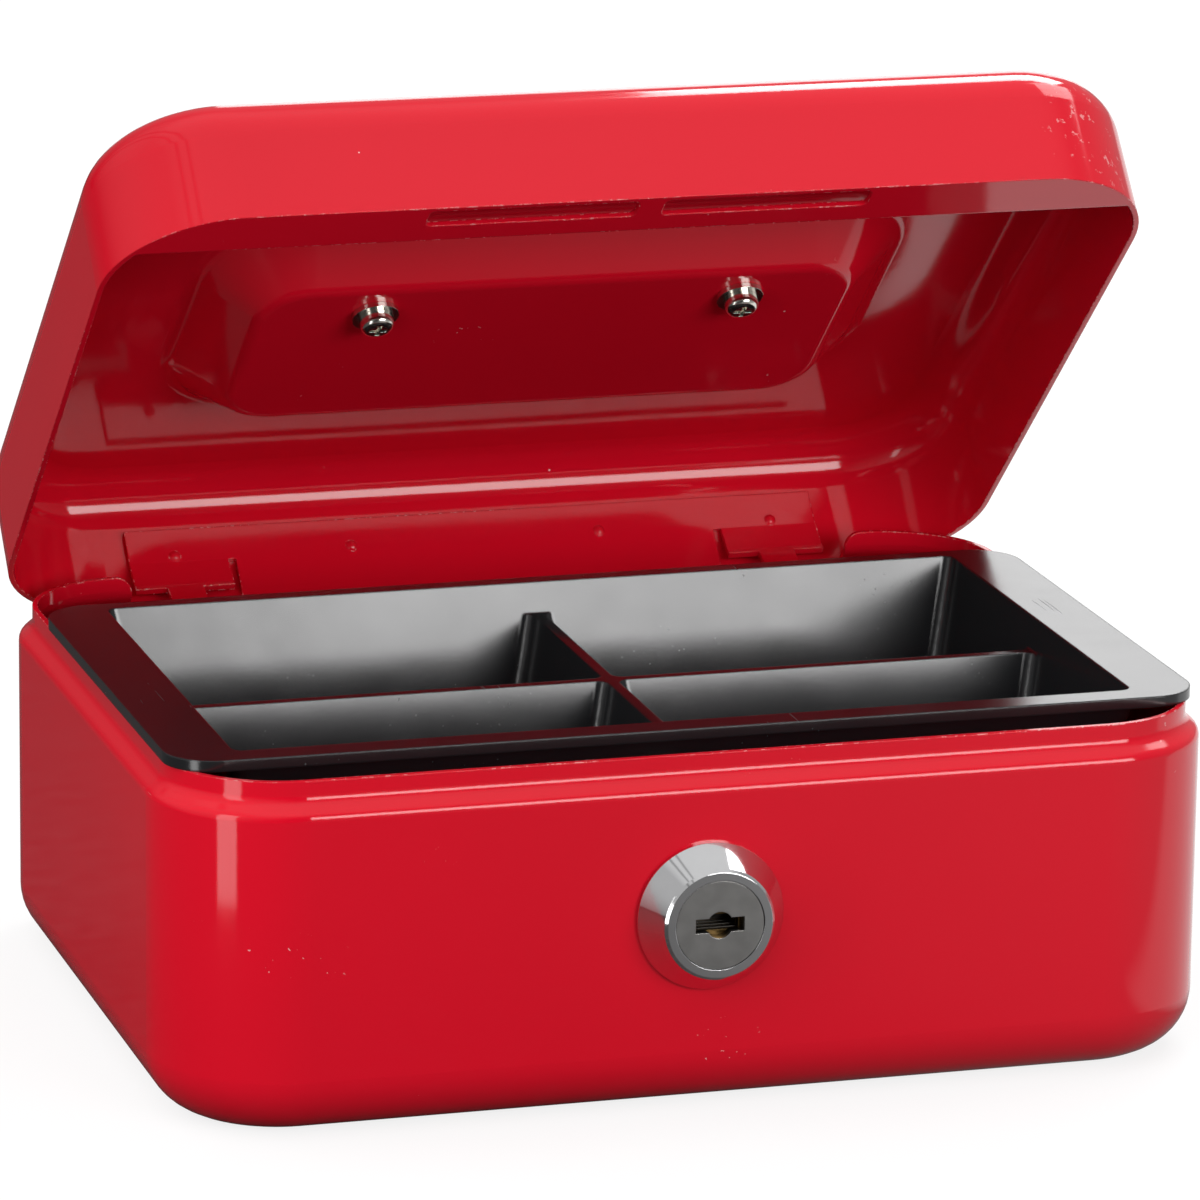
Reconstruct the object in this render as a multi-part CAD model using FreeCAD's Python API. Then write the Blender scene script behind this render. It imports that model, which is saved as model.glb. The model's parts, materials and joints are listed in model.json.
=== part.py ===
import FreeCAD, Part
import math
import os

os.makedirs("parts", exist_ok=True)

Vector = FreeCAD.Vector
UP = Vector(0, 0, 1)
RIGHT = Vector(1, 0, 0)
BACK = Vector(0, 1, 0)
ORIGIN = Vector(0, 0, 0)

# All sizes are millimetres and degrees. X runs along the front, the front looks to -Y, Z is up,
# and the origin is the middle of the floor's underside.

# Pressed steel body and lid
box_width = 152.0
box_depth = 116.0
body_height = 50.7
lid_height = 21.3
sheet = 0.8
corner_radius = 18.5
floor_edge_radius = 8.5
lid_edge_radius = 7.7
lid_gap = 0.15
lid_opening = 42.3

# Neck drawn in at the top of the body
neck_inset = 2.0
neck_height = 5.2
neck_slope = 50.0
neck_bend_radius = 1.6
neck_end_radius = 2.6
rear_wall_drop = 5.3

# Flange folded in at the front rim of the lid, with two slots for the latch
lid_flange_width = 8.6
slot_length = 30.2
slot_bridge = 3.7
slot_reach = 4.8
slot_corner_radius = 1.0

# Recess in the lid top for the handle
recess_length = 87.0
recess_width = 34.0
recess_centre_y = 5.5
recess_depth = 7.5
recess_corner_radius = 6.0
recess_slope = 42.0
recess_rim_radius = 4.0
recess_floor_radius = 2.0

# Hinge inside the rear wall
hinge_inset = 7.7
hinge_drop = 7.7
hinge_plate = 1.0
hinge_end_inset = 3.5
hinge_end_room = 1.8
leaf_top = 12.6
leaf_root = 7.0
leaf_lift = 0.6
leaf_lean = 13.3
leaf_lean_length = 4.6
tab_width = 15.2
tab_slit = 1.2
tab_tail = 0.8
knuckle_radius = 2.5
knuckle_width = 5.6
knuckle_gap = 0.3
arm_notch_room = 1.0
arm_notch_depth = 4.9
hinge_pin_radius = 1.5
hinge_pin_clearance = 0.08
hinge_pin_head_radius = 2.3
hinge_pin_head = 0.8
bracket_height = 13.0
bracket_drop = 0.6
bracket_margin = 2.4
weld_radius = 0.9
weld_height = 0.45
weld_end_inset = 7.1
weld_inner_reach = 19.5

# Coin tray that hangs by its flange on the neck
tray_depth = 84.25
tray_side_clearance = 0.9
tray_front_clearance = 0.4
tray_flange = 1.6
tray_flange_corner = 7.0
tray_side_land = 9.3
tray_front_land = 4.2
tray_rear_land = 2.9
tray_wall = 1.3
tray_height = 23.6
tray_draft = 12.0
tray_pocket_corner = 1.6
tray_pocket_floor_radius = 1.2
tray_divider = 1.6
tray_divider_drop = 4.5

# Cylinder lock near the middle of the front wall
lock_height = 28.2
lock_offset = -1.0
bezel_base_radius = 10.5
bezel_face_radius = 7.5
bezel_rim = 0.7
bezel_reach = 5.2
bezel_edge_round = 0.4
barrel_radius = 7.0
barrel_hole_clearance = 0.1
lock_washer_radius = 9.6
lock_washer_thickness = 0.5
lock_nut_across_flats = 18.0
lock_nut_thickness = 1.5
plug_head_radius = 6.3
plug_head = 1.5
plug_set_back = 0.15
plug_radius = 5.0
plug_clearance = 0.08
plug_tail_square = 6.0
keyway_width = 7.0
keyway_height = 2.0
keyway_centre_radius = 1.9
keyway_centre_depth = 2.0
wafer_count = 4
wafer_pitch = 1.35
wafer_thickness = 0.8
wafer_length = 8.6
wafer_low = 2.4
wafer_high = 1.6
wafer_clearance = 0.1
wafer_travel = 0.8
wafer_window_length = 6.2
wafer_window_height = 2.2
wafer_spring_radius = 0.3
wafer_spring_length = 3.0
wafer_spring_gap = 0.1

# Hook on the tail of the plug, which swings up through the lid flange and over the slot bridge
hook_thickness = 1.0
hook_neck_clearance = 0.4
hook_band = 3.5
hook_bridge_clearance = 0.55
hook_tip_angle = 10.0
hook_root_angle = 45.0
hook_arm_width = 6.0
hook_hub_radius = 6.0
stop_washer_thickness = 0.4
stop_washer_gap = 0.05
stop_washer_radius = 6.5
hook_screw_radius = 1.5
hook_screw_head_radius = 2.9
hook_screw_head = 1.8
hook_screw_web = 0.5
hook_washer_radius = 4.2
hook_washer_thickness = 0.5

# Folding handle in the recess
handle_screw_spacing = 55.0
handle_screw_radius = 2.0
handle_screw_head_radius = 2.5
handle_screw_head = 2.2
handle_screw_grip = 3.0
handle_screw_clearance = 0.25
handle_screw_cross = 2.6
handle_screw_cross_width = 0.7
handle_screw_cross_depth = 1.2
handle_washer_radius = 3.45
handle_washer_thickness = 0.8
lug_length = 8.6
lug_width = 7.8
lug_setback = 5.2
pivot_height = 6.0
trunnion_radius = 2.0
trunnion_clearance = 0.08
trunnion_length = 7.3
bail_rod_radius = 2.9
bail_boss_radius = 3.6
bail_boss_gap = 0.3
bail_reach = 23.0
bail_corner_radius = 9.0

# Places worked out from the sizes above
half_width = box_width / 2
half_depth = box_depth / 2
front_face = -half_depth
rear_face = half_depth
rear_inner = rear_face - sheet
neck_start = body_height - neck_height
rear_wall_top = body_height - rear_wall_drop
lid_rim = body_height + lid_gap
lid_top = lid_rim + lid_height
hinge_y = rear_face - hinge_inset
hinge_z = lid_rim - hinge_drop
hinge_span = 2 * (half_width - corner_radius - hinge_end_inset)
lid_flange_edge = front_face + lid_flange_width
tray_front = lid_flange_edge + tray_front_clearance
tray_rear = tray_front + tray_depth
tray_top = body_height + tray_flange
tray_half_width = half_width - sheet - tray_side_clearance
hook_front = front_face + neck_inset + sheet + hook_neck_clearance
hook_back = hook_front + hook_thickness
barrel_end = hook_front - stop_washer_thickness - stop_washer_gap
recess_floor = lid_top - recess_depth
recess_front = recess_centre_y - recess_width / 2
pivot_y = recess_front + lug_setback
pivot_z = recess_floor + pivot_height


def save(name, shape):
    """Write one piece; several solids of a shared piece are kept side by side."""
    shape.exportStep("parts/" + name + ".step")
    print(name, len(shape.Solids), "solids", round(shape.Volume, 2), "mm3", shape.isValid())


def block(x0, x1, y0, y1, z0, z1):
    return Part.makeBox(x1 - x0, y1 - y0, z1 - z0, Vector(x0, y0, z0))


def rod(radius, start, end):
    along = end - start
    return Part.makeCylinder(radius, along.Length, start, along)


def joined(shapes):
    return shapes[0].multiFuse(shapes[1:]).removeSplitter()


def placed_on_open_lid(shape):
    """Turn a piece of the lid from the closed place to the place where the lid stands open."""
    turned = shape.copy()
    turned.rotate(Vector(0, hinge_y, hinge_z), Vector(-1, 0, 0), lid_opening)
    return turned


def rounded_outline(x0, x1, y0, y1, z, radius):
    """Closed outline of four straight sides and four quarter arcs."""
    slant = radius * (1 - math.sqrt(0.5))
    sides = (
        (Vector(x0 + radius, y0, z), Vector(x1 - radius, y0, z)),
        (Vector(x1, y0 + radius, z), Vector(x1, y1 - radius, z)),
        (Vector(x1 - radius, y1, z), Vector(x0 + radius, y1, z)),
        (Vector(x0, y1 - radius, z), Vector(x0, y0 + radius, z)),
    )
    corners = (
        Vector(x1 - slant, y0 + slant, z),
        Vector(x1 - slant, y1 - slant, z),
        Vector(x0 + slant, y1 - slant, z),
        Vector(x0 + slant, y0 + slant, z),
    )
    edges = []
    for index, (start, end) in enumerate(sides):
        edges.append(Part.makeLine(start, end))
        edges.append(Part.Arc(end, corners[index], sides[(index + 1) % 4][0]).toShape())
    return Part.Wire(edges)


def rounded_prism(x0, x1, y0, y1, z0, z1, radius):
    face = Part.Face(rounded_outline(x0, x1, y0, y1, z0, radius))
    return face.extrude(Vector(0, 0, z1 - z0))


def walk(start, heading, steps, offset):
    """Points and edges of runs and bends in the X-Z plane, shifted to the left by offset."""
    angle = math.radians(heading)
    here = Vector(start[0] - offset * math.sin(angle), 0, start[1] + offset * math.cos(angle))
    edges = []
    for kind, amount, radius in steps:
        if kind == "run":
            there = here + Vector(math.cos(angle), 0, math.sin(angle)) * amount
            edges.append(Part.makeLine(here, there))
        else:
            side = 1 if amount > 0 else -1
            reach = radius - side * offset
            centre = here + Vector(-math.sin(angle), 0, math.cos(angle)) * (side * reach)
            spoke = here - centre
            turn = math.radians(amount)
            points = []
            for share in (0.5, 1.0):
                swing = turn * share
                points.append(centre + Vector(
                    spoke.x * math.cos(swing) - spoke.z * math.sin(swing),
                    0,
                    spoke.x * math.sin(swing) + spoke.z * math.cos(swing)))
            there = points[1]
            edges.append(Part.Arc(here, points[0], there).toShape())
            angle += turn
        here = there
    return edges


def sheet_section(start, heading, steps, thickness):
    """Face of a bent sheet whose given path is its right-hand skin."""
    outer = walk(start, heading, steps, 0.0)
    inner = walk(start, heading, steps, thickness)
    first = Part.makeLine(outer[0].firstVertex().Point, inner[0].firstVertex().Point)
    last = Part.makeLine(outer[-1].lastVertex().Point, inner[-1].lastVertex().Point)
    edges = outer + [last] + inner + [first]
    return Part.Face(Part.Wire(Part.sortEdges(edges)[0]))


def pressed_sheet(section, half_x, half_y, low, high):
    """Carry a section along four sides and round four corners, and close the flat between them."""
    pieces = [block(-half_x, half_x, -half_y, half_y, low, high)]
    for turn, out, along in ((0, half_x, half_y), (90, half_y, half_x),
                             (180, half_x, half_y), (270, half_y, half_x)):
        side = section.translated(Vector(out, -along, 0)).extrude(Vector(0, 2 * along, 0))
        corner_axis = Vector(out, along, 0)
        corner = section.translated(corner_axis).revolve(corner_axis, UP, 90)
        for piece in (side, corner):
            piece.rotate(ORIGIN, UP, turn)
            pieces.append(piece)
    return joined(pieces)


def neck_steps():
    """Body wall from the floor's middle out, up, in at the shoulder and up to the rim."""
    bend_in = neck_bend_radius * (1 - math.cos(math.radians(neck_slope)))
    bend_up = neck_bend_radius * math.sin(math.radians(neck_slope))
    slope_run = (neck_inset - 2 * bend_in) / math.sin(math.radians(neck_slope))
    slope_up = slope_run * math.cos(math.radians(neck_slope))
    rim_run = body_height - neck_start - 2 * bend_up - slope_up
    return (
        ("run", corner_radius - floor_edge_radius, 0),
        ("bend", 90, floor_edge_radius),
        ("run", neck_start - floor_edge_radius, 0),
        ("bend", neck_slope, neck_bend_radius),
        ("run", slope_run, 0),
        ("bend", -neck_slope, neck_bend_radius),
        ("run", rim_run, 0),
    )


def rear_cutaway():
    """Space in the rear neck for the hinge, with rounded shoulders left at both ends."""
    half = hinge_span / 2 + hinge_end_room
    outer = half + neck_end_radius
    low = body_height - neck_end_radius
    top = body_height + neck_end_radius
    slant = neck_end_radius * (1 - math.sqrt(0.5))
    y = hinge_y

    def edge_arc(side):
        return Part.Arc(Vector(side * outer, y, body_height),
                        Vector(side * (half + slant), y, body_height - slant),
                        Vector(side * half, y, low)).toShape()

    corners = (
        Vector(-half, y, low),
        Vector(-half, y, rear_wall_top),
        Vector(half, y, rear_wall_top),
        Vector(half, y, low),
    )
    edges = [Part.makeLine(corners[index], corners[index + 1]) for index in range(3)]
    edges.append(edge_arc(1))
    edges.append(Part.makeLine(Vector(outer, y, body_height), Vector(outer, y, top)))
    edges.append(Part.makeLine(Vector(outer, y, top), Vector(-outer, y, top)))
    edges.append(Part.makeLine(Vector(-outer, y, top), Vector(-outer, y, body_height)))
    edges.append(edge_arc(-1))
    wire = Part.Wire(Part.sortEdges(edges)[0])
    return Part.Face(wire).extrude(BACK * (hinge_inset + sheet))


def arm_middle():
    """Distance of a hinge arm's middle from the middle of the box."""
    return hinge_span / 2 - tab_width / 2


def make_body_shell():
    section = sheet_section((0, 0), 0, neck_steps(), sheet)
    shell = pressed_sheet(section, half_width - corner_radius, half_depth - corner_radius, 0, sheet)
    cuts = [rear_cutaway()]
    for side in (-1, 1):
        middle = side * arm_middle()
        reach = knuckle_width / 2 + arm_notch_room
        cuts.append(block(middle - reach, middle + reach, hinge_y + knuckle_radius, rear_face + sheet,
                          hinge_z - arm_notch_depth, rear_wall_top + sheet))
    barrel_hole = lock_rod(barrel_radius + barrel_hole_clearance,
                           front_face - sheet, front_face + 2 * sheet)
    cuts.append(placed_at_lock(barrel_hole))
    for cut in cuts:
        shell = shell.cut(cut)
    return shell


def recess_steps():
    """Handle recess from its rim inwards: over the rim, down the slope and along the floor."""
    slope = math.radians(recess_slope)
    bend_down = (recess_rim_radius + recess_floor_radius) * (1 - math.cos(slope))
    slope_run = (recess_depth - bend_down) / math.sin(slope)
    return (
        ("bend", recess_slope, recess_rim_radius),
        ("run", slope_run, 0),
        ("bend", -recess_slope, recess_floor_radius),
        ("run", recess_corner_radius, 0),
    )


def recess_spread():
    """How far the recess's rim lies outside the flat of its floor."""
    slope = math.radians(recess_slope)
    radii = recess_rim_radius + recess_floor_radius
    slope_run = (recess_depth - radii * (1 - math.cos(slope))) / math.sin(slope)
    return radii * math.sin(slope) + slope_run * math.cos(slope)


def make_lid_shell():
    steps = (
        ("run", lid_height - lid_edge_radius, 0),
        ("bend", 90, lid_edge_radius),
        ("run", corner_radius - lid_edge_radius, 0),
    )
    section = sheet_section((corner_radius, lid_rim), 90, steps, sheet)
    shell = pressed_sheet(section, half_width - corner_radius, half_depth - corner_radius,
                          lid_top - sheet, lid_top)

    spread = recess_spread()
    reach = recess_corner_radius + spread
    half_x = recess_length / 2 - recess_corner_radius
    half_y = recess_width / 2 - recess_corner_radius
    opening = rounded_prism(-half_x - reach, half_x + reach,
                            recess_centre_y - half_y - reach, recess_centre_y + half_y + reach,
                            lid_top - 2 * sheet, lid_top + sheet, reach)
    pan_section = sheet_section((reach, lid_top), 180, recess_steps(), sheet)
    pan = pressed_sheet(pan_section, half_x, half_y, recess_floor - sheet, recess_floor)
    pan.translate(Vector(0, recess_centre_y, 0))

    flange = rounded_prism(-half_width + sheet / 2, half_width - sheet / 2,
                           front_face + sheet / 2, rear_face - sheet / 2,
                           lid_rim, lid_rim + sheet, corner_radius - sheet / 2)
    flange = flange.common(block(-half_width, half_width, front_face, lid_flange_edge,
                                 lid_rim - sheet, lid_rim + 2 * sheet))
    for side in (-1, 1):
        inner = side * slot_bridge / 2
        outer = side * (slot_bridge / 2 + slot_length)
        flange = flange.cut(rounded_prism(min(inner, outer), max(inner, outer),
                                          front_face + sheet, front_face + slot_reach,
                                          lid_rim - sheet, lid_rim + 2 * sheet, slot_corner_radius))

    shell = joined([shell.cut(opening), pan, flange])
    for side in (-1, 1):
        hole = rod(handle_screw_radius + handle_screw_clearance,
                   Vector(side * handle_screw_spacing / 2, pivot_y, recess_floor - 2 * sheet),
                   Vector(side * handle_screw_spacing / 2, pivot_y, recess_floor + sheet))
        shell = shell.cut(hole)
    return placed_on_open_lid(shell)


def plate_along(points, x0, x1, thickness):
    """Plate of even thickness whose middle follows points in the Y-Z plane, from x0 to x1."""
    pieces = []
    for start, end in zip(points, points[1:]):
        along = Vector(0, end[0] - start[0], end[1] - start[1])
        across = Vector(0, -along.z, along.y)
        across.normalize()
        across = across * (thickness / 2)
        low = Vector(x0, start[0], start[1])
        corners = [low - across, low + across, low + along + across, low + along - across]
        face = Part.Face(Part.makePolygon(corners + corners[:1]))
        pieces.append(face.extrude(RIGHT * (x1 - x0)))
    for y, z in points[1:-1]:
        pieces.append(rod(thickness / 2, Vector(x0, y, z), Vector(x1, y, z)))
    return joined(pieces)


def make_lid_hinge_leaf():
    """Leaf welded inside the lid's rear wall, with a leaning arm and a knuckle near each end."""
    half = hinge_span / 2
    skin = rear_inner - hinge_plate
    middle_y = rear_inner - hinge_plate / 2
    root = lid_rim + leaf_root
    lean = math.radians(leaf_lean)
    knee = (middle_y - leaf_lean_length * math.sin(lean), root - leaf_lean_length * math.cos(lean))
    to_pin = Vector(0, hinge_y - knee[0], hinge_z - knee[1])
    tail = to_pin * (tab_tail / to_pin.Length)
    tab_end = (knee[0] + tail.y, knee[1] + tail.z)

    pieces = [block(-half, half, skin, rear_inner, root, lid_rim + leaf_top)]
    inner = half - tab_width - tab_slit
    pieces.append(block(-inner, inner, skin, rear_inner, lid_rim + leaf_lift, root))
    for side in (-1, 1):
        middle = side * arm_middle()
        tab_low = middle - tab_width / 2
        pieces.append(plate_along([(middle_y, root + hinge_plate / 2), (middle_y, root), knee, tab_end],
                                  tab_low, tab_low + tab_width, hinge_plate))
        knuckle_low = middle - knuckle_width / 2
        pieces.append(plate_along([knee, (hinge_y, hinge_z)],
                                  knuckle_low, knuckle_low + knuckle_width, hinge_plate))
        pieces.append(rod(knuckle_radius, Vector(knuckle_low, hinge_y, hinge_z),
                          Vector(knuckle_low + knuckle_width, hinge_y, hinge_z)))
    weld_outer_reach = half - weld_end_inset
    for x in (-weld_outer_reach, -weld_inner_reach, weld_inner_reach, weld_outer_reach):
        ball_radius = (weld_radius ** 2 + weld_height ** 2) / (2 * weld_height)
        centre = Vector(x, skin + ball_radius - weld_height, root + hinge_plate)
        ball = Part.makeSphere(ball_radius, centre)
        pieces.append(ball.common(block(x - weld_radius, x + weld_radius, skin - weld_height, rear_inner,
                                        centre.z - weld_radius, centre.z + weld_radius)))
    leaf = joined(pieces)
    leaf = leaf.cut(rod(hinge_pin_radius + hinge_pin_clearance,
                        Vector(-half_width, hinge_y, hinge_z), Vector(half_width, hinge_y, hinge_z)))
    return placed_on_open_lid(leaf)


def make_hinge_bracket(side):
    """Plate welded inside the body's rear wall that holds a knuckle on each side of the lid's one."""
    middle = side * arm_middle()
    low = middle - tab_width / 2
    top = hinge_z - arm_notch_depth - bracket_drop
    half = tab_width / 2 + bracket_margin
    plate = block(middle - half, middle + half, rear_inner - hinge_plate, rear_inner,
                  top - bracket_height, top)
    gap = knuckle_width / 2 + knuckle_gap
    pieces = [plate]
    for x0, x1 in ((low, middle - gap), (middle + gap, low + tab_width)):
        foot = (rear_inner - hinge_plate / 2, top - hinge_plate / 2)
        pieces.append(plate_along([foot, (hinge_y, hinge_z)], x0, x1, hinge_plate))
        pieces.append(rod(knuckle_radius, Vector(x0, hinge_y, hinge_z), Vector(x1, hinge_y, hinge_z)))
    bracket = joined(pieces)
    return bracket.cut(rod(hinge_pin_radius, Vector(low - sheet, hinge_y, hinge_z),
                           Vector(low + tab_width + sheet, hinge_y, hinge_z)))


def make_hinge_pin(side):
    inner = side * (arm_middle() - tab_width / 2)
    outer = side * (arm_middle() + tab_width / 2)
    shank = rod(hinge_pin_radius, Vector(inner, hinge_y, hinge_z), Vector(outer, hinge_y, hinge_z))
    head = rod(hinge_pin_head_radius, Vector(outer, hinge_y, hinge_z),
               Vector(outer + side * hinge_pin_head, hinge_y, hinge_z))
    return joined([shank, head])


def tapered_block(x0, x1, y0, y1, top, bottom, radius):
    """Rounded block that draws in towards its bottom by the tray's draft."""
    pull = (top - bottom) * math.tan(math.radians(tray_draft))
    upper = rounded_outline(x0, x1, y0, y1, top, radius)
    lower = rounded_outline(x0 + pull, x1 - pull, y0 + pull, y1 - pull, bottom, radius)
    return Part.makeLoft([lower, upper], True, True)


def make_coin_tray():
    x1 = tray_half_width - tray_side_land
    y0 = tray_front + tray_front_land
    y1 = tray_rear - tray_rear_land
    bottom = tray_top - tray_height
    floor = bottom + tray_wall
    divider_top = tray_top - tray_divider_drop
    lean = math.tan(math.radians(tray_draft))

    flange = rounded_prism(-tray_half_width, tray_half_width, tray_front, tray_rear,
                           body_height, tray_top, tray_flange_corner)
    tub = tapered_block(-x1 - tray_wall, x1 + tray_wall, y0 - tray_wall, y1 + tray_wall,
                        tray_top, bottom, tray_pocket_corner + tray_wall)
    tray = joined([flange, tub])
    tray = tray.cut(tapered_block(-x1, x1, y0, y1, tray_top, divider_top, tray_pocket_corner))

    pull = tray_divider_drop * lean
    middle_y = (y0 + y1) / 2
    half_divider = tray_divider / 2
    for x_low, x_high in ((-x1 + pull, -half_divider), (half_divider, x1 - pull)):
        for y_low, y_high in ((y0 + pull, middle_y - half_divider), (middle_y + half_divider, y1 - pull)):
            pocket = tapered_block(x_low, x_high, y_low, y_high, divider_top, floor, tray_pocket_corner)
            low_edges = [edge for edge in pocket.Edges if edge.BoundBox.ZMax < floor + sheet]
            tray = tray.cut(pocket.makeFillet(tray_pocket_floor_radius, low_edges))
    return tray


def placed_at_lock(shape):
    """Shift a piece of the lock from the box's middle to the lock's place along the front."""
    return shape.translated(RIGHT * lock_offset)


def lock_rod(radius, y0, y1):
    return rod(radius, Vector(0, y0, lock_height), Vector(0, y1, lock_height))


def lock_block(half_x, y0, y1, low, high):
    return block(-half_x, half_x, y0, y1, lock_height + low, lock_height + high)


bezel_face = front_face - bezel_reach
plug_face = bezel_face + plug_set_back
plug_shoulder = plug_face + plug_head


def make_lock_housing():
    """Bezel cone in front of the wall and the barrel through it, with a bore for the plug."""
    rim_end = front_face - bezel_rim
    outline = [
        Vector(0, barrel_end, 0),
        Vector(barrel_radius, barrel_end, 0),
        Vector(barrel_radius, front_face, 0),
        Vector(bezel_base_radius, front_face, 0),
        Vector(bezel_base_radius, rim_end, 0),
        Vector(bezel_face_radius + bezel_edge_round, bezel_face + bezel_edge_round, 0),
        Vector(bezel_face_radius, bezel_face, 0),
        Vector(0, bezel_face, 0),
    ]
    housing = Part.Face(Part.makePolygon(outline + outline[:1])).revolve(ORIGIN, BACK, 360)
    housing.translate(Vector(0, 0, lock_height))
    housing = housing.cut(lock_rod(plug_head_radius + plug_clearance, bezel_face - sheet, plug_shoulder))
    housing = housing.cut(lock_rod(plug_radius + plug_clearance, plug_shoulder, barrel_end + sheet))
    groove_reach = wafer_length / 2 + wafer_travel + 2 * wafer_clearance
    groove = block(-groove_reach, 0, plug_shoulder + wafer_clearance, barrel_end,
                   lock_height - wafer_low - 2 * wafer_clearance,
                   lock_height + wafer_low + 2 * wafer_clearance)
    return housing.cut(groove)


def make_lock_washer():
    start = front_face + sheet
    ring = lock_rod(lock_washer_radius, start, start + lock_washer_thickness)
    return ring.cut(lock_rod(barrel_radius, start - sheet, start + 2 * lock_washer_thickness))


def make_lock_nut():
    start = front_face + sheet + lock_washer_thickness
    reach = lock_nut_across_flats / 2 / math.cos(math.radians(30))
    corners = []
    for index in range(6):
        angle = math.radians(60 * index)
        corners.append(Vector(reach * math.cos(angle), start, lock_height + reach * math.sin(angle)))
    nut = Part.Face(Part.makePolygon(corners + corners[:1])).extrude(BACK * lock_nut_thickness)
    return nut.cut(lock_rod(barrel_radius, start - sheet, start + 2 * lock_nut_thickness))


def wafer_places():
    """Front faces of the wafers, spaced evenly from the plug's shoulder back."""
    start = plug_shoulder + 2 * wafer_clearance
    return [start + index * wafer_pitch for index in range(wafer_count)]


def hook_screw_end():
    """Front end of the hook's screw, a web of metal behind the last wafer's slot."""
    return wafer_places()[-1] + wafer_thickness + wafer_clearance + hook_screw_web


def make_lock_plug():
    """Turning plug with its keyway, its wafer slots and a square tail for the hook."""
    half_tail = plug_tail_square / 2
    tail = lock_block(half_tail, barrel_end, hook_back, -half_tail, half_tail)
    plug = joined([
        lock_rod(plug_head_radius, plug_face, plug_shoulder),
        lock_rod(plug_radius, plug_shoulder, barrel_end),
        tail,
    ])
    keyway_end = wafer_places()[-1] + wafer_thickness
    plug = plug.cut(lock_block(keyway_width / 2, plug_face - sheet, keyway_end,
                               -keyway_height / 2, keyway_height / 2))
    plug = plug.cut(lock_rod(keyway_centre_radius, plug_face - sheet, plug_face + keyway_centre_depth))
    for y in wafer_places():
        slot = block(-plug_radius - sheet, wafer_length / 2 + wafer_clearance,
                     y - wafer_clearance, y + wafer_thickness + wafer_clearance,
                     lock_height - wafer_low - wafer_clearance, lock_height + wafer_low + wafer_clearance)
        plug = plug.cut(slot)
    return plug.cut(lock_rod(hook_screw_radius, hook_screw_end(), hook_back + sheet))


def make_wafer_tumblers():
    """Thin brass plates across the plug, each with a key window and an ear that its spring pushes."""
    wafers = []
    for y in wafer_places():
        plate = lock_block(wafer_length / 2, y, y + wafer_thickness, -wafer_low, wafer_high)
        ear_end = wafer_length / 2 + wafer_clearance - wafer_spring_length - wafer_spring_gap
        ear = block(-wafer_length / 2, ear_end, y, y + wafer_thickness,
                    lock_height + wafer_high, lock_height + wafer_low)
        plate = joined([plate, ear])
        window = lock_block(wafer_window_length / 2, y - sheet, y + wafer_thickness + sheet,
                            -wafer_window_height / 2, wafer_window_height / 2)
        wafers.append(plate.cut(window))
    return Part.makeCompound(wafers)


def make_wafer_springs():
    """One spring above each wafer, drawn as the cylinder it fills."""
    springs = []
    height = lock_height + (wafer_high + wafer_low + wafer_clearance) / 2
    for y in wafer_places():
        middle = y + wafer_thickness / 2
        end = wafer_length / 2 + wafer_clearance
        springs.append(rod(wafer_spring_radius, Vector(end - wafer_spring_length, middle, height),
                           Vector(end, middle, height)))
    return Part.makeCompound(springs)


def hook_point(angle, radius, y):
    """Point at an angle to the right of upright about the lock's axis."""
    turn = math.radians(angle)
    return Vector(radius * math.sin(turn), y, lock_height + radius * math.cos(turn))


def make_latch_hook():
    """Flat hook: a hub on the plug's tail, an arm and an arc of steel centred on the lock."""
    inner = lid_rim + sheet + hook_bridge_clearance - lock_height
    outer = inner + hook_band
    rest = -90
    tip = hook_tip_angle + rest
    root = -hook_root_angle + rest
    middle = (tip + root) / 2
    edges = [
        Part.Arc(hook_point(tip, inner, hook_front), hook_point(middle, inner, hook_front),
                 hook_point(root, inner, hook_front)).toShape(),
        Part.makeLine(hook_point(root, inner, hook_front), hook_point(root, outer, hook_front)),
        Part.Arc(hook_point(root, outer, hook_front), hook_point(middle, outer, hook_front),
                 hook_point(tip, outer, hook_front)).toShape(),
        Part.makeLine(hook_point(tip, outer, hook_front), hook_point(tip, inner, hook_front)),
    ]
    band = Part.Face(Part.Wire(Part.sortEdges(edges)[0])).extrude(BACK * hook_thickness)

    spread = math.degrees(hook_arm_width / 2 / outer)
    arm_end = hook_point(root + spread, outer - hook_band / 2, hook_front)
    hub = Vector(0, hook_front, lock_height)
    along = arm_end - hub
    across = along.cross(BACK)
    across.normalize()
    across = across * (hook_arm_width / 2)
    corners = [hub - across, hub + across, arm_end + across, arm_end - across]
    arm = Part.Face(Part.makePolygon(corners + corners[:1])).extrude(BACK * hook_thickness)
    arm = arm.common(lock_rod(outer, hook_front, hook_back))
    hook = joined([lock_rod(hook_hub_radius, hook_front, hook_back), arm, band])
    half_tail = plug_tail_square / 2
    return hook.cut(lock_block(half_tail, hook_front - sheet, hook_back + sheet, -half_tail, half_tail))


def make_stop_washer():
    half_tail = plug_tail_square / 2
    start = hook_front - stop_washer_thickness
    ring = lock_rod(stop_washer_radius, start, hook_front)
    return ring.cut(lock_block(half_tail, start - sheet, hook_front + sheet, -half_tail, half_tail))


def make_hook_washer():
    end = hook_back + hook_washer_thickness
    return lock_rod(hook_washer_radius, hook_back, end).cut(
        lock_rod(hook_screw_radius, hook_back - sheet, end + sheet))


def cross_slot(reach, width, y0, y1):
    """Cross-shaped driver recess about the lock's axis."""
    return lock_block(reach / 2, y0, y1, -width / 2, width / 2).fuse(
        lock_block(width / 2, y0, y1, -reach / 2, reach / 2))


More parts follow.
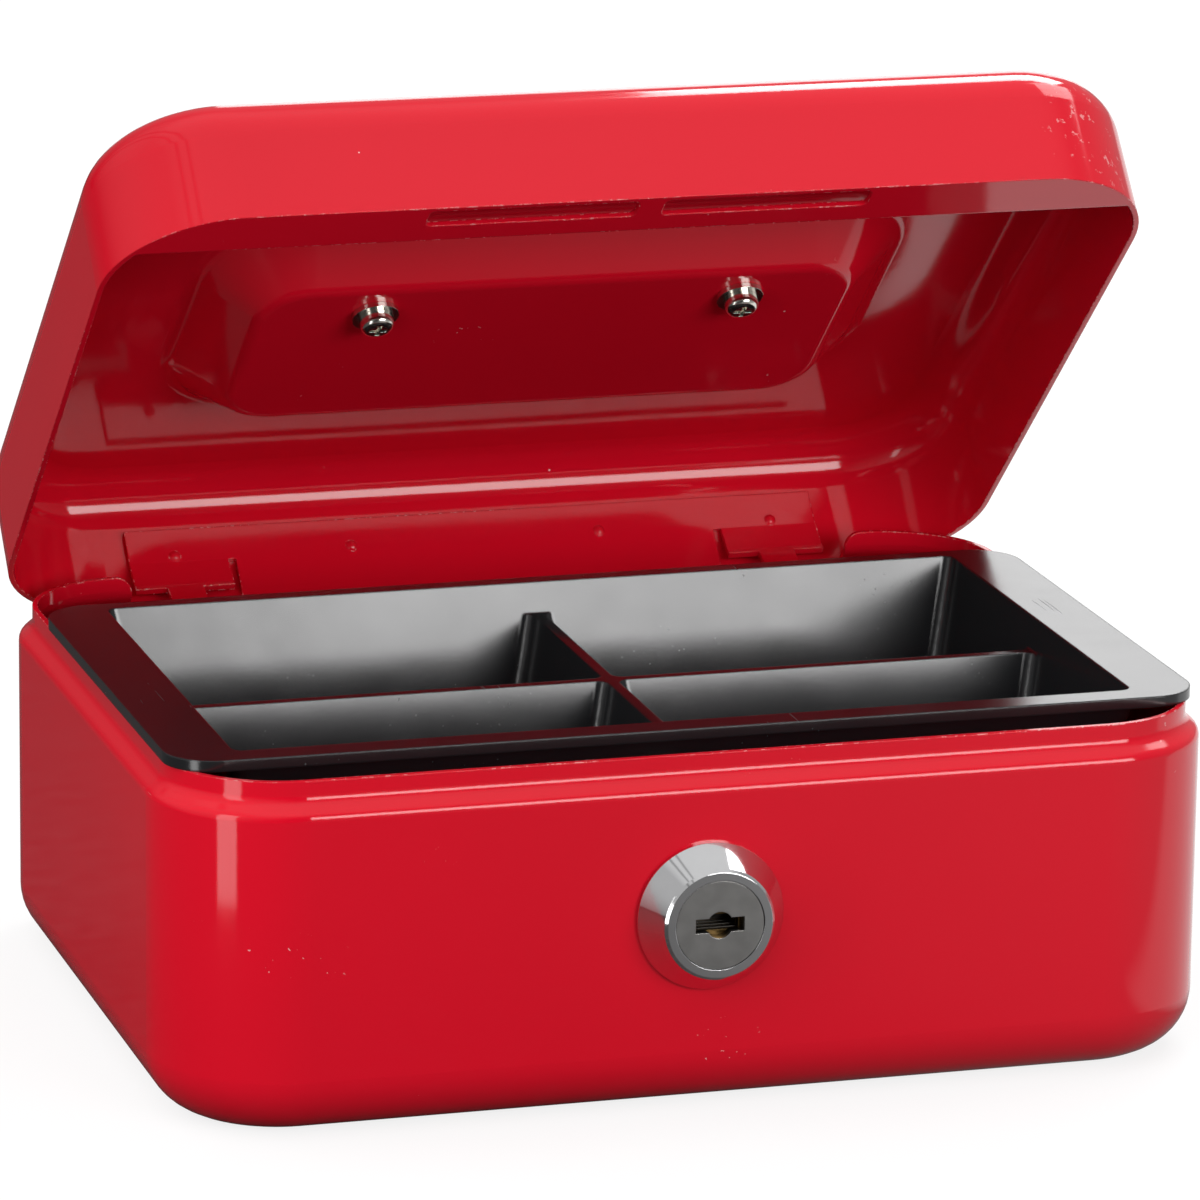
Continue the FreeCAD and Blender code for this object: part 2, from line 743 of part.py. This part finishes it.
def make_hook_screw():
    seat = hook_back + hook_washer_thickness
    end = seat + hook_screw_head
    screw = joined([lock_rod(hook_screw_radius, hook_screw_end(), seat),
                    lock_rod(hook_screw_head_radius, seat, end)])
    depth = hook_screw_head / 2
    return screw.cut(cross_slot(handle_screw_cross, handle_screw_cross_width, end - depth, end + sheet))


def screw_axis(side):
    return Vector(side * handle_screw_spacing / 2, pivot_y, 0)


def make_handle_lug(side):
    """Foot that stands on the recess floor, is held by one screw and carries a handle pivot."""
    axis = screw_axis(side)
    x0 = axis.x - lug_length / 2
    x1 = axis.x + lug_length / 2
    crown = rod(lug_width / 2, Vector(x0, pivot_y, pivot_z), Vector(x1, pivot_y, pivot_z))
    foot = block(x0, x1, pivot_y - lug_width / 2, pivot_y + lug_width / 2, recess_floor, pivot_z)
    lug = joined([foot, crown])
    lug = lug.cut(rod(trunnion_radius + trunnion_clearance,
                      Vector(x0 - sheet, pivot_y, pivot_z), Vector(x1 + sheet, pivot_y, pivot_z)))
    lug = lug.cut(rod(handle_screw_radius, axis + UP * (recess_floor - sheet),
                      axis + UP * (recess_floor + handle_screw_grip)))
    return placed_on_open_lid(lug)


def make_handle_washers():
    washers = []
    top = recess_floor - sheet
    low = top - handle_washer_thickness
    for side in (-1, 1):
        axis = screw_axis(side)
        ring = rod(handle_washer_radius, axis + UP * low, axis + UP * top)
        ring = ring.cut(rod(handle_screw_radius, axis + UP * (low - sheet), axis + UP * (top + sheet)))
        washers.append(placed_on_open_lid(ring))
    return Part.makeCompound(washers)


def make_handle_screws():
    """Pan-head screws from inside the lid, with a cross recess."""
    screws = []
    seat = recess_floor - sheet - handle_washer_thickness
    low = seat - handle_screw_head
    for side in (-1, 1):
        axis = screw_axis(side)
        head = rod(handle_screw_head_radius, axis + UP * low, axis + UP * seat)
        low_edges = [edge for edge in head.Edges if edge.BoundBox.ZMax < low + sheet / 2]
        head = head.makeFillet(handle_screw_head / 2, low_edges)
        shank = rod(handle_screw_radius, axis + UP * seat,
                    axis + UP * (recess_floor + handle_screw_grip))
        screw = joined([head, shank])
        for reach_x, reach_y in ((handle_screw_cross, handle_screw_cross_width),
                                 (handle_screw_cross_width, handle_screw_cross)):
            screw = screw.cut(block(axis.x - reach_x / 2, axis.x + reach_x / 2,
                                    axis.y - reach_y / 2, axis.y + reach_y / 2,
                                    low - sheet, low + handle_screw_cross_depth))
        screws.append(placed_on_open_lid(screw))
    return Part.makeCompound(screws)


def make_handle_bail():
    """Rod handle folded back into the recess, with a boss and an inward trunnion at each end."""
    boss_start = handle_screw_spacing / 2 + lug_length / 2 + bail_boss_gap
    arm_x = boss_start + bail_boss_radius
    far = pivot_y + bail_reach
    bend = bail_corner_radius
    pieces = [rod(bail_rod_radius, Vector(-arm_x + bend, far, pivot_z), Vector(arm_x - bend, far, pivot_z))]
    for side in (-1, 1):
        x = side * arm_x
        pieces.append(rod(bail_rod_radius, Vector(x, pivot_y, pivot_z), Vector(x, far - bend, pivot_z)))
        ring_centre = Vector(x - side * bend, far - bend, pivot_z)
        circle = Part.makeCircle(bail_rod_radius, Vector(x, far - bend, pivot_z), BACK)
        section = Part.Face(Part.Wire(circle))
        pieces.append(section.revolve(ring_centre, UP, side * 90))
        pieces.append(rod(bail_boss_radius, Vector(side * boss_start, pivot_y, pivot_z),
                          Vector(side * (boss_start + 2 * bail_boss_radius), pivot_y, pivot_z)))
        pieces.append(rod(trunnion_radius, Vector(side * boss_start, pivot_y, pivot_z),
                          Vector(side * (boss_start - trunnion_length), pivot_y, pivot_z)))
    return placed_on_open_lid(joined(pieces))


save("body_shell", make_body_shell())
save("hinge_bracket_left", make_hinge_bracket(-1))
save("hinge_bracket_right", make_hinge_bracket(1))
save("hinge_pin_left", make_hinge_pin(-1))
save("hinge_pin_right", make_hinge_pin(1))
save("lid_shell", make_lid_shell())
save("lid_hinge_leaf", make_lid_hinge_leaf())
save("handle_lug_left", make_handle_lug(-1))
save("handle_lug_right", make_handle_lug(1))
save("handle_screws", make_handle_screws())
save("handle_washers", make_handle_washers())
save("handle_bail", make_handle_bail())
save("coin_tray", make_coin_tray())
save("lock_housing", placed_at_lock(make_lock_housing()))
save("lock_washer", placed_at_lock(make_lock_washer()))
save("lock_nut", placed_at_lock(make_lock_nut()))
save("lock_plug", placed_at_lock(make_lock_plug()))
save("wafer_tumblers", placed_at_lock(make_wafer_tumblers()))
save("wafer_springs", placed_at_lock(make_wafer_springs()))
save("stop_washer", placed_at_lock(make_stop_washer()))
save("latch_hook", placed_at_lock(make_latch_hook()))
save("hook_washer", placed_at_lock(make_hook_washer()))
save("hook_screw", placed_at_lock(make_hook_screw()))
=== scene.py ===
import json
import math

import bpy
import numpy as np
from mathutils import Matrix, Vector


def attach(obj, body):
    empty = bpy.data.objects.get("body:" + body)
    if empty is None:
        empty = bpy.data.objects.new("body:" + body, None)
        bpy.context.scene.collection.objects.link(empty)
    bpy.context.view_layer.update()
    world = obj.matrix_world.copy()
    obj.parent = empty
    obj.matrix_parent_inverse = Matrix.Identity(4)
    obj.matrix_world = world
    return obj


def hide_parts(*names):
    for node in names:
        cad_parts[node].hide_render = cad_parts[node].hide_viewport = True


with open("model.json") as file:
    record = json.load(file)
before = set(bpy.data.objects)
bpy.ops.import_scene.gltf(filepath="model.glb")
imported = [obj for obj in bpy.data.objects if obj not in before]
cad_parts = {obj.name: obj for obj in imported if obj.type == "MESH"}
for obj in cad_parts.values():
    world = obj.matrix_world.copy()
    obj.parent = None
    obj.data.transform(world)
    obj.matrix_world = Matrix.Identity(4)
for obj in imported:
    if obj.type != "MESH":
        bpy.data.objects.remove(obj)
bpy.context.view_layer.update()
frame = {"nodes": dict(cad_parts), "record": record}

nodes = frame["nodes"]
record = frame["record"]

# Camera, fitted to the photograph's edges: angles in radians, place in metres, lens and sensor in millimetres
camera_yaw = 0.2925
camera_pitch = 0.2595
camera_roll = 0.0134
camera_place = (-0.299747, -0.996025, 0.334017)
camera_lens = 224.94
sensor_width = 36.0

# Lock, in metres: its axis runs along Y through the lock's joint, and the plug's face stands at plug_face
joint_places = {joint["name"]: joint.get("pos_m") for joint in record["behaviour"]["joints"]}
lock_x, _, lock_z = joint_places["lock_turn"]
plug_face = -0.06305
# Painted shade deep in the keyway: the plug's colour darkens from just behind its face, over a short fade, in
# metres
keyway_shade_from = plug_face + 0.0003
keyway_shade_fade = 0.0008

# Scuffs on the lid's right front corner, in metres: their middle and how far they reach
knocked_corner = (0.068, -0.019, 0.128)
knock_reach = 0.011

# Wafer springs, in metres: they lie along X, one behind another, above the wafers
spring_start, spring_end = 0.0004, 0.0034
spring_first_y, spring_pitch, spring_count = -0.06095, 0.00135, 4
spring_z = 0.03025
spring_radius, spring_wire, spring_turns = 0.0003, 0.00006, 8
spring_steps_per_turn, spring_wire_sides = 16, 8

# Colours, as linear red, green, blue and a full alpha
enamel_deep, enamel_bright = (0.60, 0.0030, 0.0150, 1), (0.66, 0.0042, 0.0190, 1)
enamel_worn = (0.82, 0.46, 0.46, 1)
plastic_black, plastic_rubbed = (0.0085, 0.0088, 0.010, 1), (0.05, 0.05, 0.052, 1)
plug_dull, plug_bright = (0.36, 0.352, 0.342, 1), (0.44, 0.432, 0.42, 1)
# Painted shade deep in the keyway
keyway_painted_shade = (0.02, 0.018, 0.015, 1)
# Floor colours away from the camera, as painted shade: dark at the left, mid grey at the right
floor_painted_shade, floor_mid = (0.025, 0.025, 0.025, 1), (0.17, 0.17, 0.17, 1)
floor_pale = (0.95, 0.95, 0.95, 1)
white = (1, 1, 1, 1)

# Room round the box: brightness in reflections at the sides and overhead, and on matt surfaces
mirror_sides, mirror_overhead = 0.5, 0.74
room_left, room_least = 1.5, 0.10

# Dark seams between the panels of the room, as the sideways share of the direction towards them
panel_seams = (-0.52, -0.40)
seam_darkness = 0.5

# Floor, in metres: half its side, and where a painted glow starts in its reflections, right of the box
floor_half = 3.0
bright_floor_x, bright_floor_y = 0.080, -0.105


class Value:
    """A socket inside a material; operators on it add Math nodes."""

    def __init__(self, finish, socket):
        self.finish = finish
        self.socket = socket

    def _math(self, operation, first, second):
        return self.finish.node("Math", {"operation": operation}, {0: first, 1: second})

    def __add__(self, other):
        return self._math("ADD", self, other)

    def __sub__(self, other):
        return self._math("SUBTRACT", self, other)

    def __rsub__(self, other):
        return self._math("SUBTRACT", other, self)

    def __mul__(self, other):
        return self._math("MULTIPLY", self, other)

    __radd__ = __add__
    __rmul__ = __mul__

    def above(self, edge, width):
        """0 below edge, 1 past edge + width, with a smooth step between."""
        return self.finish.node(
            "MapRange", {"interpolation_type": "SMOOTHSTEP"},
            {"Value": self, "From Min": edge, "From Max": edge + width})

    def most(self, other):
        """The larger of two values."""
        return self._math("MAXIMUM", self, other)


class Finish:
    """One material of the object: a node tree that is filled by expressions."""

    # The Mix node's colour sockets: its two inputs and its output
    mix_first, mix_second, mix_result = 6, 7, 2

    def __init__(self, name, tree=None):
        if tree is None:
            self.material = bpy.data.materials.new(name)
            self.material.use_nodes = True
            tree = self.material.node_tree
        self.tree = tree
        self.tree.nodes.clear()

    def node(self, kind, settings=None, sockets=None, out=0):
        """Add one node: its settings first, then values or links for its sockets; give one output."""
        made = self.tree.nodes.new("ShaderNode" + kind)
        for key, value in (settings or {}).items():
            setattr(made, key, value)
        for key, value in (sockets or {}).items():
            if isinstance(value, Value):
                self.tree.links.new(value.socket, made.inputs[key])
            else:
                made.inputs[key].default_value = value
        return Value(self, made.outputs[out]) if len(made.outputs) else None

    def spot(self):
        """Object coordinates, in metres."""
        return self.node("TexCoord", out="Object")

    def place(self, scale=(1, 1, 1), turn=(0, 0, 0)):
        """Object coordinates, turned and stretched."""
        return self.node("Mapping", {}, {"Vector": self.spot(), "Scale": scale, "Rotation": turn})

    def axes(self, vector):
        """The three parts of a vector."""
        return [self.node("SeparateXYZ", {}, {"Vector": vector}, part) for part in "XYZ"]

    def vector_math(self, operation, sockets):
        """One number worked out from vectors."""
        return self.node("VectorMath", {"operation": operation}, sockets, "Value")

    def rays(self):
        """Two masks: rays that see plain white, from the camera or through glass, and rays off gloss."""
        camera = self.node("LightPath", out="Is Camera Ray")
        through = self.node("LightPath", out="Is Transmission Ray")
        return camera.most(through), self.node("LightPath", out="Is Glossy Ray")

    def noise(self, size, detail=2.0, rough=0.5, at=None):
        """Noise whose lumps are about size metres across, from 0 to 1."""
        return self.node("TexNoise", {}, {
            "Vector": at or self.place(), "Scale": 1 / size, "Detail": detail, "Roughness": rough})

    def mix(self, share, first, second):
        """Colour between first and second."""
        sockets = {"Factor": share, self.mix_first: first, self.mix_second: second}
        return self.node("Mix", {"data_type": "RGBA"}, sockets, self.mix_result)

    def specks(self, spacing, radius, share):
        """Round dots on a jittered grid: a share of the cells carries a dot of up to radius metres."""
        cell = {"Vector": self.place(), "Scale": 1 / spacing}
        middle = self.node("TexVoronoi", {}, cell, "Distance")
        pick = self.node("TexVoronoi", {}, cell, "Color")
        chosen = self.node("SeparateColor", {}, {"Color": pick}, "Red").above(1 - share, 0.001)
        size = self.node("SeparateColor", {}, {"Color": pick}, "Green") * 0.7 + 0.3
        reach = radius / spacing
        return (size * reach - middle).above(0.0, 0.25 * reach) * chosen

    def scratches(self, spacing, stretch, turn, share):
        """Thin broken lines: noise stretched along one direction, cut near its crest."""
        lines = self.noise(spacing, detail=1.0, at=self.place((1, 1 / stretch, 1), turn))
        broken = self.noise(30 * spacing)
        return lines.above(0.74, 0.02) * broken.above(1 - share, 0.1)

    def round_edge(self, radius):
        """Normal that turns softly over edges, as if they had this radius in metres."""
        return self.node("Bevel", {"samples": 4}, {"Radius": radius})

    def bump(self, height, depth, normal):
        """Normal that leans with a height from 0 to 1, depth metres tall."""
        return self.node("Bump", {}, {"Height": height, "Distance": depth, "Strength": 1.0, "Normal": normal})

    def principled(self, sockets):
        """Close the material with one shader and give it."""
        self.surface(self.node("BsdfPrincipled", {}, sockets))
        return self.material

    def surface(self, shader):
        """Lead a shader to the material's output."""
        self.node("OutputMaterial", {}, {"Surface": shader})


def red_paint():
    """Gloss stove enamel on steel: orange peel, a few nibs and hairline scratches.

    On sharp edges, where the rounded normal parts from the true one, it is rubbed through in dots,
    and round the knocked corner it is scuffed.
    """
    f = Finish("red_paint")
    drift = f.noise(size=0.06)
    nibs = f.specks(spacing=0.0045, radius=0.00022, share=0.07)
    hairs = f.scratches(spacing=0.0006, stretch=22.0, turn=(0.3, 0.5, 0.7), share=0.36)

    rounded = f.round_edge(0.0003)
    edge = 1 - f.vector_math("DOT_PRODUCT", {0: rounded, 1: f.node("NewGeometry", out="Normal")})
    dots = f.noise(size=0.0009, detail=3.0, rough=0.7).above(0.53, 0.06)
    patches = f.noise(size=0.02, detail=1.0).above(0.34, 0.2)
    rubbed = edge.above(0.02, 0.08) * dots * patches

    away = f.vector_math("DISTANCE", {0: f.spot(), 1: knocked_corner})
    near = 1 - away.above(0.5 * knock_reach, 0.5 * knock_reach)
    scuffs = near * f.noise(size=0.0018, detail=4.0, rough=0.7).above(0.61, 0.04)

    worn = nibs.most(hairs * 0.6).most(rubbed).most(scuffs * 0.45)
    smear = f.noise(size=0.018, detail=3.0, rough=0.6)
    leaning = f.bump(f.noise(size=0.022, detail=0.0), 0.00006, rounded)
    leaning = f.bump(f.noise(size=0.0022, detail=1.0, rough=0.4), 0.0000045, leaning)
    leaning = f.bump(nibs, 0.00003, leaning)
    return f.principled({
        "Base Color": f.mix(worn, f.mix(drift, enamel_deep, enamel_bright), enamel_worn),
        "Roughness": smear * 0.07 + 0.05 + worn * 0.3,
        "Specular IOR Level": 0.48,
        "Normal": leaning,
    })


def black_plastic():
    """Moulded black plastic, glossy on its flats, with handling marks."""
    f = Finish("black_plastic")
    mottle = f.noise(size=0.015, detail=3.0, rough=0.6)
    rubs = f.scratches(spacing=0.0005, stretch=30.0, turn=(0.1, 0.2, 1.2), share=0.45)
    dust = f.specks(spacing=0.004, radius=0.00013, share=0.10)
    marks = rubs.most(dust)
    leaning = f.bump(f.noise(size=0.012, detail=1.0), 0.00004, f.round_edge(0.0004))
    leaning = f.bump(f.noise(size=0.0007), 0.0000025, leaning)
    return f.principled({
        "Base Color": f.mix(marks, plastic_black, plastic_rubbed),
        "Roughness": mottle * 0.10 + 0.14 + marks * 0.25,
        "Specular IOR Level": 0.85,
        "Normal": leaning,
    })


def plated(name, light, dark, smooth, spread, grain_and_painted_shade, depth):
    """Plated metal: colour and gloss drift a little, over a fine grain."""
    f = Finish(name)
    drift = f.noise(size=0.006, detail=3.0, rough=0.6)
    marks = f.scratches(spacing=0.0004, stretch=18.0, turn=(0.8, 0.1, 0.4), share=0.4)
    return f.principled({
        "Base Color": f.mix(drift, light, dark),
        "Metallic": 1.0,
        "Roughness": drift * spread + smooth + marks * 0.15,
        "Normal": f.bump(f.noise(grain_and_painted_shade), depth, f.round_edge(0.00015)),
    })


def satin_nickel():
    """Turned and plated face: fine rings about the lock's axis under a satin plating, with painted shade deep
    in the keyway.
    """
    f = Finish("satin_nickel")
    spot = f.spot()
    centred = f.node("Mapping", {}, {"Vector": spot, "Location": (-lock_x, 0, -lock_z), "Scale": (1, 0, 1)})
    radius = f.vector_math("LENGTH", {0: centred})
    rings = f.node("TexNoise", {"noise_dimensions": "1D"}, {"W": radius, "Scale": 9000.0, "Detail": 2.0})
    drift = f.noise(size=0.003, detail=3.0, rough=0.6)
    marks = f.scratches(spacing=0.0003, stretch=12.0, turn=(0.2, 0.9, 0.4), share=0.5)
    _, y, _ = f.axes(spot)
    # Painted shade: the plug turns dark deeper into the keyway
    keyway_shade = y.above(keyway_shade_from, keyway_shade_fade)
    return f.principled({
        "Base Color": f.mix(keyway_shade * 0.9, f.mix(drift, plug_dull, plug_bright), keyway_painted_shade),
        "Metallic": 1.0,
        "Roughness": drift * 0.12 + 0.26 + marks * 0.15,
        "Normal": f.bump(rings, 0.0000035, f.round_edge(0.00015)),
    })


FINISHES = {
    "red_paint": red_paint(),
    "black_plastic": black_plastic(),
    "chrome": plated(
        "chrome", light=(0.80, 0.80, 0.81, 1), dark=(0.70, 0.70, 0.71, 1),
        smooth=0.05, spread=0.05, grain_and_painted_shade=0.0015, depth=0.000002),
    "nickel": plated(
        "nickel", light=(0.80, 0.77, 0.71, 1), dark=(0.66, 0.63, 0.57, 1),
        smooth=0.12, spread=0.12, grain_and_painted_shade=0.0008, depth=0.000004),
    "satin_nickel": satin_nickel(),
    "zinc_steel": plated(
        "zinc_steel", light=(0.58, 0.58, 0.57, 1), dark=(0.42, 0.43, 0.44, 1),
        smooth=0.28, spread=0.16, grain_and_painted_shade=0.0006, depth=0.000006),
    # Brass of the wafers, darkened well below the metal's own colour as painted shade, since they sit deep in
    # the keyway
    "brass": plated(
        "brass", light=(0.24, 0.15, 0.055, 1), dark=(0.08, 0.05, 0.02, 1),
        smooth=0.22, spread=0.15, grain_and_painted_shade=0.0006, depth=0.000004),
}


def dress_frame():
    """Give each piece of the frame the finish of its slot."""
    for part in record["subparts"]:
        for slot in nodes[part["node"]].material_slots:
            slot.material = FINISHES[part["material_slot"]]


def new_piece(name, points, faces, body, slot):
    """Smooth mesh at the origin that rides on a body and wears the finish of a slot."""
    mesh = bpy.data.meshes.new(name)
    mesh.from_pydata(points, [], faces)
    mesh.polygons.foreach_set("use_smooth", np.ones(len(faces), bool))
    mesh.materials.append(FINISHES[slot])
    piece = bpy.data.objects.new(name, mesh)
    bpy.context.scene.collection.objects.link(piece)
    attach(piece, body)
    return piece


def make_springs():
    """Coil springs: the wire's middle goes round a line along X at a fixed radius and forward evenly,
    a small circle across the wire is carried along it, and a flat face closes each end."""
    steps, around = spring_turns * spring_steps_per_turn + 1, spring_wire_sides
    share = np.linspace(0, 1, steps)
    turn = 2 * np.pi * spring_turns * share
    middle = spring_radius - spring_wire
    start, end = spring_start + spring_wire, spring_end - spring_wire
    path = np.stack([start + (end - start) * share, middle * np.cos(turn), middle * np.sin(turn)], 1)
    outward = np.stack([0 * turn, np.cos(turn), np.sin(turn)], 1)
    ahead = np.gradient(path, axis=0)
    ahead /= np.linalg.norm(ahead, axis=1, keepdims=True)
    across = np.cross(ahead, outward)
    angle = 2 * np.pi * np.arange(around) / around
    ring = np.cos(angle)[:, None] * outward[:, None] + np.sin(angle)[:, None] * across[:, None]
    coil = path[:, None] + spring_wire * ring
    places = np.stack([np.zeros(spring_count), spring_first_y + spring_pitch * np.arange(spring_count),
                       np.full(spring_count, spring_z)], 1)
    points = (coil[None] + places[:, None, None]).reshape(-1, 3)

    row, column = np.meshgrid(np.arange(steps - 1), np.arange(around), indexing="ij")
    painted_glow_beside = (column + 1) % around
    quads = np.stack([row * around + column, row * around + painted_glow_beside,
                      (row + 1) * around + painted_glow_beside, (row + 1) * around + column], -1).reshape(-1, 4)
    shift = steps * around * np.arange(spring_count)
    first = np.arange(around)[::-1]
    last = (steps - 1) * around + np.arange(around)
    faces = (quads[None] + shift[:, None, None]).reshape(-1, 4).tolist()
    faces += (first[None] + shift[:, None]).tolist() + (last[None] + shift[:, None]).tolist()
    springs = new_piece("wafer_springs_wound", points, faces, "lock", "zinc_steel")
    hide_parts("wafer_springs")


def make_camera():
    """Camera from its yaw, pitch and roll: look along, right and up are worked out and set as columns."""
    forward = Vector((math.sin(camera_yaw) * math.cos(camera_pitch),
                      math.cos(camera_yaw) * math.cos(camera_pitch),
                      -math.sin(camera_pitch)))
    level = Vector((math.cos(camera_yaw), -math.sin(camera_yaw), 0))
    upright = level.cross(forward)
    right = level * math.cos(camera_roll) + upright * math.sin(camera_roll)
    up = upright * math.cos(camera_roll) - level * math.sin(camera_roll)
    data = bpy.data.cameras.new("camera")
    data.lens = camera_lens
    data.sensor_width = sensor_width
    data.clip_start = 0.05
    data.clip_end = 20
    camera = bpy.data.objects.new("camera", data)
    turn = Matrix((right, up, -forward)).transposed().to_4x4()
    camera.matrix_world = Matrix.Translation(camera_place) @ turn
    bpy.context.scene.collection.objects.link(camera)
    bpy.context.scene.camera = camera


def softbox(name, place, target, width, height, watts):
    """Rectangular lamp that looks at a target; it shows in reflections and not to the camera."""
    data = bpy.data.lights.new(name, "AREA")
    data.shape = "RECTANGLE"
    data.size = width
    data.size_y = height
    data.energy = watts
    lamp = bpy.data.objects.new(name, data)
    lamp.location = place
    lamp.rotation_mode = "QUATERNION"
    lamp.rotation_quaternion = (Vector(target) - Vector(place)).to_track_quat("-Z", "Y")
    lamp.visible_camera = False
    bpy.context.scene.collection.objects.link(lamp)


def make_lights():
    """Boxes right of the camera, above, at the right and behind, and a narrow strip at the left."""
    softbox("front_lamp", place=(0.31, -0.68, 0.255), target=(0, 0, 0.06),
            width=0.46, height=0.27, watts=3.1)
    softbox("top_lamp", place=(0.425, 0.48, 0.674), target=(0.425, 0, 0.134),
            width=0.40, height=0.30, watts=4.0)
    softbox("right_lamp", place=(0.56, 0.165, 0.70), target=(0, -0.06, 0.03),
            width=0.34, height=0.34, watts=1.6)
    softbox("back_lamp", place=(0.30, 0.76, 0.27), target=(0.07, 0, 0.06),
            width=0.36, height=0.30, watts=0.68)
    softbox("strip_lamp", place=(-0.154, -0.109, 0.061), target=(-0.068, -0.053, 0.061),
            width=0.034, height=0.118, watts=0.038)


def make_world():
    """White to the camera; the room lights matt surfaces from the upper left.

    Shiny surfaces mirror a soft glow from both sides and from overhead, with dark seams in it.
    """
    world = bpy.data.worlds.new("studio")
    bpy.context.scene.world = world
    world.use_nodes = True
    f = Finish("studio", world.node_tree)
    x, y, z = f.axes(f.node("TexCoord", out="Generated"))
    right = (x * 0.6 + y * 0.3 + z * 0.5).above(-0.25, 1.5)
    left = (z * 0.8 - x * 0.55).above(0.2, 0.7)
    mirrored = (right.most(left) * mirror_sides).most(z.above(0.5, 0.4) * mirror_overhead)
    for seam in panel_seams:
        off_seam = ((x - seam) * (x - seam)).above(0.0001, 0.0005)
        mirrored = mirrored * (off_seam * seam_darkness + (1 - seam_darkness))
    room = (z * 0.65 - x * 0.9 - y * 0.1).above(0.0, 1.0) * room_left + room_least
    seen, shiny = f.rays()
    unseen = room * (1 - shiny) + mirrored * shiny
    light = f.node("Background", {}, {"Color": white, "Strength": unseen * (1 - seen) + seen})
    f.node("OutputWorld", {}, {"Surface": light})


def make_floor():
    """Flat square floor: pale and near white to the camera, with a soft shadow.

    In reflections it carries painted shade, dark at the left and lighter to the right, and a painted glow
    just right of the box.
    """
    mesh = bpy.data.meshes.new("floor")
    corners = floor_half * np.array([(-1, -1, 0), (1, -1, 0), (1, 1, 0), (-1, 1, 0)])
    mesh.from_pydata(corners, [], [(0, 1, 2, 3)])
    floor = bpy.data.objects.new("floor", mesh)
    bpy.context.scene.collection.objects.link(floor)
    f = Finish("pale_floor")
    seen, shiny = f.rays()
    x, y, _ = f.axes(f.place())
    # Painted shade: the floor is darker at the left in bounced and reflected light, over a fine grain
    grain_and_painted_shade = f.noise(size=0.004) * 0.4 + x.above(-0.12, 0.32) * 0.6
    colour = f.mix(seen, f.mix(grain_and_painted_shade, floor_painted_shade, floor_mid), floor_pale)
    # Painted reflection: a glow seen only in reflections, bright just right of the box and rising gently to
    # the right
    painted_glow_beside = x.above(bright_floor_x, 0.012) * y.above(bright_floor_y, 0.03)
    mirrored = (painted_glow_beside * 0.98).most(x.above(-0.03, 0.19) * 0.24 + 0.01)
    matt = f.node("BsdfDiffuse", {}, {"Color": colour})
    glow = f.node("Emission", {}, {"Color": white, "Strength": 1.0})
    glow_share = (seen * 0.82).most(shiny * mirrored)
    f.surface(f.node("MixShader", {}, {0: glow_share, 1: matt, 2: glow}))
    mesh.materials.append(f.material)


dress_frame()
make_springs()
make_camera()
make_lights()
make_world()
make_floor()
bpy.context.scene.view_settings.view_transform = "Standard"
